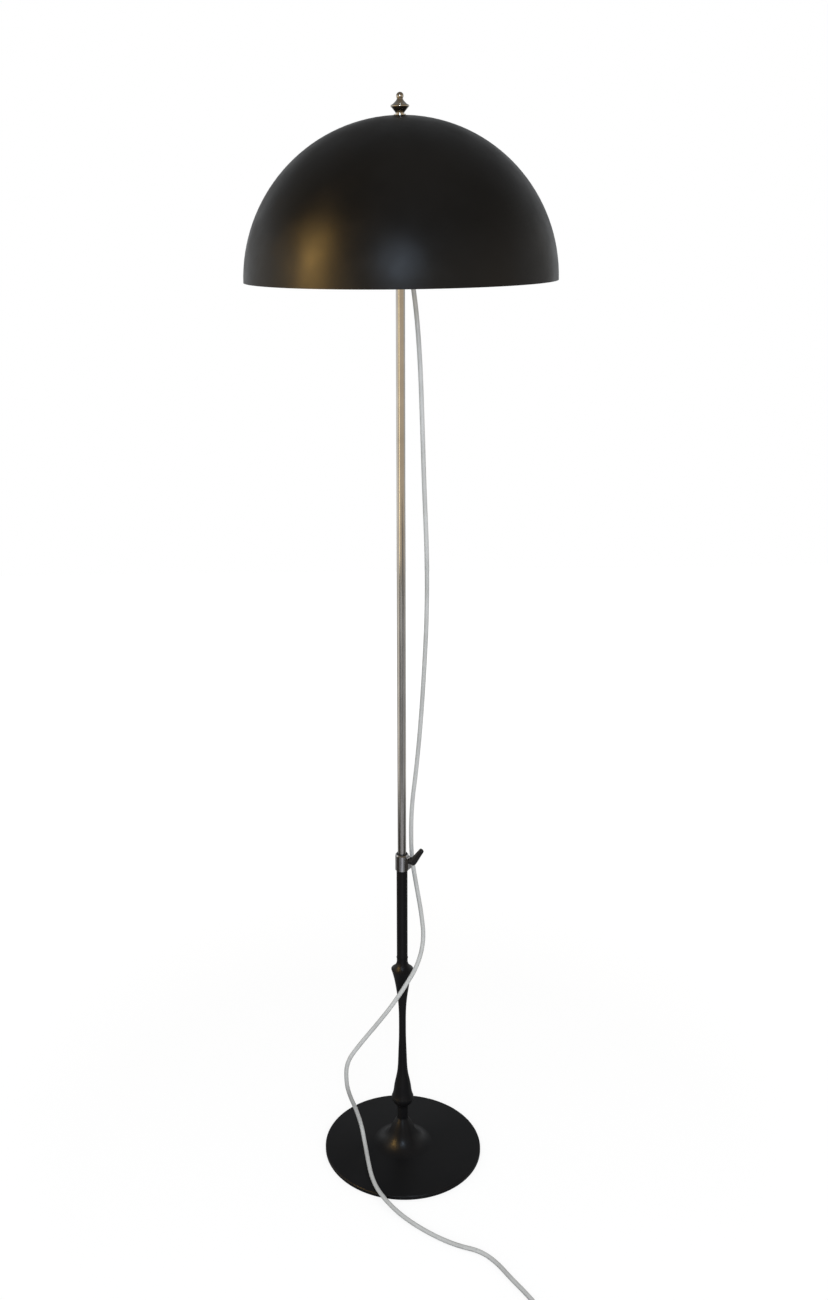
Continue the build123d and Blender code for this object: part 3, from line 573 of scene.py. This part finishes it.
def cast_iron_material():
    """Raw cast iron with a coarse grain."""
    material, nodes, links, shader = new_material("cast_iron")
    grain = noise(nodes, links, 260.0, 6.0)
    tone = two_tone(nodes, links, grain, (0.05, 0.047, 0.045), (0.13, 0.11, 0.1))
    links.new(tone, shader.inputs["Base Color"])
    shader.inputs["Metallic"].default_value = 0.6
    shader.inputs["Roughness"].default_value = 0.7
    add_bump(nodes, links, shader, grain, IRON_GRAIN)
    return material


def opal_glass_material():
    """Milky bulb glass that lets a little light through."""
    material, nodes, links, shader = new_material("opal_glass")
    cloud = noise(nodes, links, 30.0, 3.0)
    tone = two_tone(nodes, links, cloud, (0.82, 0.81, 0.78), (0.9, 0.895, 0.87))
    links.new(tone, shader.inputs["Base Color"])
    links.new(spread(nodes, links, cloud, 0.22, 0.3), shader.inputs["Roughness"])
    shader.inputs["Subsurface Weight"].default_value = 0.3
    shader.inputs["Subsurface Radius"].default_value = (0.01, 0.01, 0.01)
    shader.inputs["Coat Weight"].default_value = 0.4
    return material


def lead_material():
    """Aged off-white lead: pale grey with faint grime and a soft gloss."""
    material, nodes, links, shader = new_material("lead")
    grime = noise(nodes, links, 18.0, 6.0)
    tone = two_tone(nodes, links, grime, (0.43, 0.43, 0.415), (0.53, 0.53, 0.515), 0.3, 0.62)
    links.new(tone, shader.inputs["Base Color"])
    links.new(spread(nodes, links, grime, 0.36, 0.5), shader.inputs["Roughness"])
    fine = noise(nodes, links, 500.0, 3.0, (1, 1, 0.25))
    add_bump(nodes, links, shader, fine, LEAD_GRAIN)
    return material


def set_material(name, material):
    """Puts a material on one of the solids."""
    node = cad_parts[name]
    if not node.material_slots:
        node.data.materials.append(material)
    for place in node.material_slots:
        place.material = material


# ---------------------------------------------------------------- mesh helpers
def mesh_object(name, verts, faces, material, smooth=True):
    """Object made from points and faces, put in the scene."""
    mesh = bpy.data.meshes.new(name)
    mesh.from_pydata(verts, [], faces)
    mesh.materials.append(material)
    if smooth:
        mesh.polygons.foreach_set("use_smooth", [True] * len(mesh.polygons))
    piece = bpy.data.objects.new(name, mesh)
    bpy.context.scene.collection.objects.link(piece)
    return piece


def tube_mesh(name, path, radius, material, sides=LEAD_SIDES):
    """Closed tube round a path, with a frame carried along it so that it doesn't twist."""
    verts, faces = [], []
    count = len(path)
    tangents = [
        (path[min(i + 1, count - 1)] - path[max(i - 1, 0)]).normalized()
        for i in range(count)
    ]
    across = tangents[0].orthogonal().normalized()
    for point, tangent in zip(path, tangents):
        across = (across - tangent * across.dot(tangent)).normalized()
        up = tangent.cross(across)
        for side in range(sides):
            angle = 2 * math.pi * side / sides
            verts.append(point + (across * math.cos(angle) + up * math.sin(angle)) * radius)
    for i in range(count - 1):
        for side in range(sides):
            near, far = i * sides, (i + 1) * sides
            turn = (side + 1) % sides
            faces.append((near + side, near + turn, far + turn, far + side))
    faces.append(tuple(reversed(range(sides))))
    faces.append(tuple(range((count - 1) * sides, count * sides)))
    return mesh_object(name, verts, faces, material)


def turned(name, outline, material, place, sides=48):
    """Closed ring or knob turned from (radius, height) points about the Z axis of a placement."""
    verts, faces = [], []
    count = len(outline)
    for step in range(sides):
        angle = 2 * math.pi * step / sides
        for radius, height in outline:
            verts.append(place @ Vector((radius * math.cos(angle), radius * math.sin(angle), height)))
    for step in range(sides):
        near, far = step * count, (step + 1) % sides * count
        for corner in range(count):
            after = (corner + 1) % count
            faces.append((near + corner, far + corner, far + after, near + after))
    return mesh_object(name, verts, faces, material)


def round_section(radius, height, thickness, points=8):
    """Section of a round ring, for turning."""
    return [
        (
            radius + thickness * math.cos(2 * math.pi * step / points),
            height + thickness * math.sin(2 * math.pi * step / points),
        )
        for step in range(points)
    ]


def thread(name, radius, bottom, top, pitch, material, place):
    """Screw thread laid on a rod: a fine round ridge along a helix."""
    turns = (top - bottom) / pitch
    steps = int(turns * THREAD_STEPS)
    path = []
    for step in range(steps + 1):
        angle = 2 * math.pi * step / THREAD_STEPS
        height = bottom + (top - bottom) * step / steps
        path.append(place @ Vector((radius * math.cos(angle), radius * math.sin(angle), height)))
    return tube_mesh(name, path, pitch * THREAD_SHARE, material, THREAD_SIDES)


def ride_all(pieces, body):
    """Ties detail pieces to the body that they move with."""
    for piece in pieces:
        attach(piece, body)


# ---------------------------------------------------------------- detail pieces
def lamp_place(side):
    """Placement whose Z axis runs out along one lamp, starting at the cluster's surface."""
    turn = Matrix.Rotation(math.radians(90 * side), 4, "Y")
    return Matrix.Translation((side * CLUSTER_RADIUS, 0, LAMP_AXIS_HEIGHT)) @ turn


def ribbed_ring(name, radius, start, length, depth, ribs, material, place):
    """Ring of a lampholder, with grip ribs round it that run along the lamp's axis."""
    verts, faces = [], []
    steps = ribs * RIB_STEPS
    for share, raised in GRIP_LEVELS:
        for step in range(steps):
            angle = 2 * math.pi * step / steps
            rib = 1.0 if step % RIB_STEPS < RIB_STEPS / 2 else GRIP_VALLEY
            out = radius + depth * raised * rib
            height = start + length * share
            verts.append(place @ Vector((out * math.cos(angle), out * math.sin(angle), height)))
    for level in range(len(GRIP_LEVELS) - 1):
        for step in range(steps):
            after = (step + 1) % steps
            near, far = level * steps, (level + 1) * steps
            faces.append((near + step, near + after, far + after, far + step))
    return mesh_object(name, verts, faces, material, smooth=False)


def lamp_details(side_name, side):
    """Grip ring, mouth bead, step ring and outer thread of one lampholder."""
    place = lamp_place(side)
    mouth = round_section(MOUTH_RADIUS, MOUTH_START, MOUTH_BEAD)
    ledge = round_section(STEP_RADIUS, STEP_START, STEP_BEAD)
    pieces = [
        ribbed_ring(f"holder_grip_{side_name}", HOLDER_RADIUS, GRIP_START, GRIP_LENGTH, GRIP_DEPTH,
                    GRIP_RIBS, HOLDER_PLASTIC, place),
        turned(f"holder_bead_{side_name}", mouth, HOLDER_PLASTIC, place),
        turned(f"holder_step_{side_name}", ledge, HOLDER_PLASTIC, place),
        thread(f"holder_thread_{side_name}", HOLDER_RADIUS, HOLDER_THREAD_START, HOLDER_THREAD_END,
               HOLDER_THREAD_PITCH, HOLDER_PLASTIC, place),
    ]
    ride_all(pieces, "pole")


def screw_head(name, place, radius, material):
    """Cheese-head screw with a slot, its Z axis pointing out of the surface; the slot is a flat near-black
    sheet that paints the shade inside it.
    """
    outline = [
        (SCREW_HEAD_BORE, 0),
        (radius, 0),
        (radius, radius * HEAD_EDGE_HEIGHT),
        (radius * HEAD_TOP_RADIUS, radius * HEAD_HEIGHT),
        (SCREW_HEAD_BORE, radius * HEAD_HEIGHT),
    ]
    head = turned(name, outline, material, place, SCREW_HEAD_SIDES)
    half = radius * SLOT_HALF_WIDTH
    reach = radius * SLOT_HALF_LENGTH
    level = radius * SLOT_HEIGHT
    corners = [(-half, -reach), (half, -reach), (half, reach), (-half, reach)]
    verts = [place @ Vector((x, y, level)) for x, y in corners]
    # The slot is a flat sheet in a near-black material: painted shade in the slot's recess.
    slot = mesh_object(f"{name}_slot", verts, [(0, 1, 2, 3)], PAINTED_SHADE, smooth=False)
    return [head, slot]


def cluster_details():
    """The two beads and the two clamping screws of the cluster, and the rod's thread."""
    low = round_section(CLUSTER_BEAD_RADIUS, CLUSTER_LOW_BEAD_HEIGHT, CLUSTER_BEAD)
    high = round_section(CLUSTER_BEAD_RADIUS, CLUSTER_HIGH_BEAD_HEIGHT, CLUSTER_BEAD)
    pieces = [
        thread("rod_thread", ROD_THREAD_RADIUS, ROD_THREAD_BOTTOM, ROD_THREAD_TOP, FINE_PITCH, ZINC, UPRIGHT),
        turned("cluster_low_bead", low, NICKEL, UPRIGHT),
        turned("cluster_high_bead", high, NICKEL, UPRIGHT),
    ]
    for degrees, label in ((-90, "front"), (90, "back")):
        angle = math.radians(degrees)
        turn = Matrix.Rotation(angle, 4, "Z") @ Matrix.Rotation(math.radians(90), 4, "Y")
        reach = Vector((math.cos(angle), math.sin(angle), 0)) * (CLUSTER_RADIUS - SCREW_SINK)
        place = Matrix.Translation(reach + Vector((0, 0, CLUSTER_SCREW_HEIGHT))) @ turn
        pieces += screw_head(f"cluster_screw_{label}", place, CLUSTER_SCREW_RADIUS, BRASS)
    ride_all(pieces, "pole")


def gland_details():
    """Flexing ribs round the lead's strain relief."""
    place = Matrix.Translation(GLAND_PLACE)
    pieces = []
    for number in range(GLAND_RIBS):
        share = number / (GLAND_RIBS - 1)
        height = GLAND_TOP - GLAND_REACH * share
        radius = GLAND_TOP_RADIUS - GLAND_TAPER * share
        rib = round_section(radius, height, GLAND_RIB)
        pieces.append(turned(f"gland_rib_{number}", rib, HOLDER_PLASTIC, place))
    ride_all(pieces, "pole")


def shade_details():
    """Rolled bead inside the dome's rim."""
    bead = round_section(RIM_BEAD_RADIUS, RIM_BEAD_HEIGHT, RIM_BEAD)
    pieces = [turned("shade_rim_bead", bead, ENAMEL, UPRIGHT, RIM_SIDES)]
    ride_all(pieces, "pole")


def clamp_frame():
    """Placement at the pole's axis and the screw's height, its Z axis along the screw."""
    turn = Matrix.Rotation(math.radians(LUG_TURN), 4, "Z") @ Matrix.Rotation(math.radians(90), 4, "Y")
    return Matrix.Translation((0, 0, SCREW_HEIGHT)) @ turn


def wing_section(along, width, thickness):
    """Rounded flat section across the lever's arm, at a distance along it."""
    return [
        Vector((
            math.copysign(abs(math.cos(a)) ** WING_ROUNDING[0], math.cos(a)) * width / 2,
            math.copysign(abs(math.sin(a)) ** WING_ROUNDING[1], math.sin(a)) * thickness / 2,
            along,
        ))
        for a in (2 * math.pi * step / WING_POINTS for step in range(WING_POINTS))
    ]


def lever_details():
    """Flat moulded wing along the lever's arm, and the screw's head in the hub."""
    screw_axis = clamp_frame()
    reach = LUG_REACH + LEVER_GAP + HUB_LENGTH + ARM_ROOT_REACH - ARM_ROOT_RADIUS
    lean = Matrix.Rotation(math.radians(-ARM_SLOPE), 4, "Y")
    arm = screw_axis @ Matrix.Translation((ARM_ROOT_DROP, 0, reach)) @ lean
    verts, faces = [], []
    sections = [wing_section(*(size * MM for size in station)) for station in WING_STATIONS]
    for section in sections:
        verts += [arm @ point for point in section]
    size = len(sections[0])
    for level in range(len(sections) - 1):
        for step in range(size):
            after = (step + 1) % size
            near, far = level * size, (level + 1) * size
            faces.append((near + step, near + after, far + after, far + step))
    faces.append(tuple(reversed(range(size))))
    faces.append(tuple(range((len(sections) - 1) * size, len(sections) * size)))
    wing = mesh_object("lever_wing", verts, faces, BLACK_PLASTIC)
    head_place = screw_axis @ Matrix.Translation((0, 0, LEVER_SCREW_DISTANCE))
    pieces = [wing] + screw_head("lever_screw_head", head_place, LEVER_SCREW_RADIUS, ZINC)
    ride_all(pieces, "lever")


def foot_details():
    """Dark ring in the seam between the stem and the foot, painted shade of the gap there, and the thread of
    the foot's stud.
    """
    joint = round_section(NECK_RADIUS, NECK_HEIGHT, NECK_BEAD)
    pieces = [
        # A near-black ring that paints the shade in the seam between the stem and the foot.
        turned("neck_joint", joint, PAINTED_SHADE, UPRIGHT),
        thread("stud_thread", STUD_RADIUS, STUD_THREAD_BOTTOM, STUD_THREAD_TOP, FINE_PITCH, ZINC, UPRIGHT),
    ]
    ride_all(pieces, "base")


# ---------------------------------------------------------------- lead
def coil_points():
    """Control points of the coil: in on the floor, up one layer, out again, then down to the plug."""
    heading = (COIL_START - Vector(LOWER_ROUTE[-1])).normalized()
    inward = Vector((heading.y, -heading.x, 0))
    widen = 1 / math.cos(math.pi / COIL_STEPS / 2)
    start = COIL_START + heading * (LEAD / MM)
    radii = [COIL_RADIUS - COIL_PITCH / 2 * turn for turn in range(COIL_HALF_TURNS + 1)]
    radii += radii[-2::-1] + [radii[0] + COIL_PITCH / 2]
    points = []
    across, side = 0.0, 1
    for turn, radius in enumerate(radii):
        centre = across + side * radius
        for step in range(COIL_STEPS):
            share = (step + 0.5) / COIL_STEPS
            angle = math.pi * share
            climb = 0.0 if turn < COIL_HALF_TURNS else 1.0
            if turn == COIL_HALF_TURNS:
                climb = share * share * (3 - 2 * share)
            points.append(
                start
                + inward * (centre - side * radius * widen * math.cos(angle))
                + heading * (side * radius * widen * math.sin(angle))
                + Vector((0, 0, COIL_PITCH * climb))
            )
        across += side * 2 * radius
        side = -side
    leaving = start + inward * across
    low = PLUG_AXIS_HEIGHT
    high = FLOOR_LEVEL + COIL_PITCH
    for along, height in ((SETTLE_EASE, high), (SETTLE_LENGTH - SETTLE_EASE, low)):
        points.append(Vector((leaving.x, leaving.y, height)) + heading * along)
    end = Vector((leaving.x, leaving.y, low)) + heading * (SETTLE_LENGTH + LEAD / MM)
    points.append(end)
    return points


def smooth_path(control):
    """Points of the smooth spline that has these control points."""
    data = bpy.data.curves.new("lead_route", "CURVE")
    data.dimensions = "3D"
    data.resolution_u = 8
    spline = data.splines.new("NURBS")
    spline.points.add(len(control) - 1)
    for place, point in zip(spline.points, control):
        place.co = (*(Vector(point) * MM), 1)
    spline.order_u = 3
    spline.use_endpoint_u = True
    guide = bpy.data.objects.new("lead_route", data)
    bpy.context.scene.collection.objects.link(guide)
    bpy.context.view_layer.update()
    mesh = bpy.data.meshes.new_from_object(guide)
    path = [vertex.co.copy() for vertex in mesh.vertices]
    bpy.data.objects.remove(guide)
    bpy.data.meshes.remove(mesh)
    cleaned = [path[0]]
    for point in path[1:]:
        if (point - cleaned[-1]).length > SAME_POINT:
            cleaned.append(point)
    return cleaned


def make_lead(material):
    """The whole lead as one smooth tube along the route, ending at the plug; the solid lead pieces are
    hidden.
    """
    control = HANGING_ROUTE + LOWER_ROUTE + [COIL_START] + coil_points()
    path = smooth_path(control)
    lead = tube_mesh("mains_lead", path, LEAD / 2, material)
    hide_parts("cord_hanging", "cord_lower", "cord_coil")
    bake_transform(lead)


# ---------------------------------------------------------------- the scene
make_camera()
make_world()
make_lights()
make_cards()
make_floor()
bpy.context.scene.view_settings.view_transform = "Standard"

ENAMEL = black_enamel(
    "foot_enamel", (0.0038, 0.0038, 0.0043), (0.006, 0.006, 0.0066), 0.36, 0.21, ENAMEL_PEEL)
SHADE = shade_enamel()
CHROME = plated("chrome_plating", (0.58, 0.56, 0.53), (0.68, 0.66, 0.63), 0.12, (1, 1, 0.02), 140.0)
CLAMP_METAL = plated("clamp_metal", (0.55, 0.55, 0.56), (0.66, 0.66, 0.67), 0.1, (1, 1, 0.05), 160.0)
NICKEL = plated("nickel_plating", (0.55, 0.51, 0.44), (0.68, 0.64, 0.56), 0.14)
ZINC = plated("zinc_plating", (0.5, 0.5, 0.5), (0.62, 0.62, 0.6), 0.38)
BRASS = plated("brass", (0.6, 0.44, 0.2), (0.72, 0.56, 0.3), 0.3)
BLACK_PLASTIC = moulded("black_plastic", (0.006, 0.006, 0.006), (0.013, 0.0125, 0.0125), 0.42, 0.35)
NYLON = moulded("nylon", (0.55, 0.53, 0.48), (0.66, 0.65, 0.6), 0.45)
HOLDER_PLASTIC = moulded("holder_plastic", (0.62, 0.6, 0.55), (0.72, 0.7, 0.66), 0.42)
PLUG_PLASTIC = moulded("plug_plastic", (0.5, 0.48, 0.43), (0.62, 0.6, 0.56), 0.42)
LEAD_SKIN = lead_material()
# Near-black material for painted shade: the screw slots and the ring in the seam at the stem's neck.
PAINTED_SHADE = moulded("painted_shade", (0.006, 0.006, 0.006), (0.012, 0.012, 0.012), 0.7, 0.2)

NODE_MATERIALS = {
    "felt_pad": felt_material(),
    "base_weight": cast_iron_material(),
    "base_cover": ENAMEL,
    "stem": ENAMEL,
    "outer_tube": ENAMEL,
    "base_washer": ZINC,
    "base_nut": ZINC,
    "base_stud": ZINC,
    "clamp_screw": ZINC,
    "center_rod": ZINC,
    "rod_locknut": ZINC,
    "shade_washer": ZINC,
    "clamp_collar": CLAMP_METAL,
    "inner_tube": CHROME,
    "tube_bush": BLACK_PLASTIC,
    "clamp_pad": NYLON,
    "tube_foot": NYLON,
    "clamp_lever": BLACK_PLASTIC,
    "cluster_body": NICKEL,
    "top_washer": NICKEL,
    "finial": NICKEL,
    "shade": SHADE,
    "cord_gland": HOLDER_PLASTIC,
    "plug_body": PLUG_PLASTIC,
    "plug_pins": NICKEL,
}
for side in ("left", "right"):
    NODE_MATERIALS[f"lampholder_{side}"] = HOLDER_PLASTIC
    NODE_MATERIALS[f"holder_insert_{side}"] = BRASS
    NODE_MATERIALS[f"bulb_cap_{side}"] = NICKEL
    NODE_MATERIALS[f"bulb_glass_{side}"] = opal_glass_material()
for node_name, node_material in NODE_MATERIALS.items():
    set_material(node_name, node_material)

make_lead(LEAD_SKIN)
foot_details()
lever_details()
cluster_details()
gland_details()
shade_details()
for side_name, side_sign in (("left", -1), ("right", 1)):
    lamp_details(side_name, side_sign)
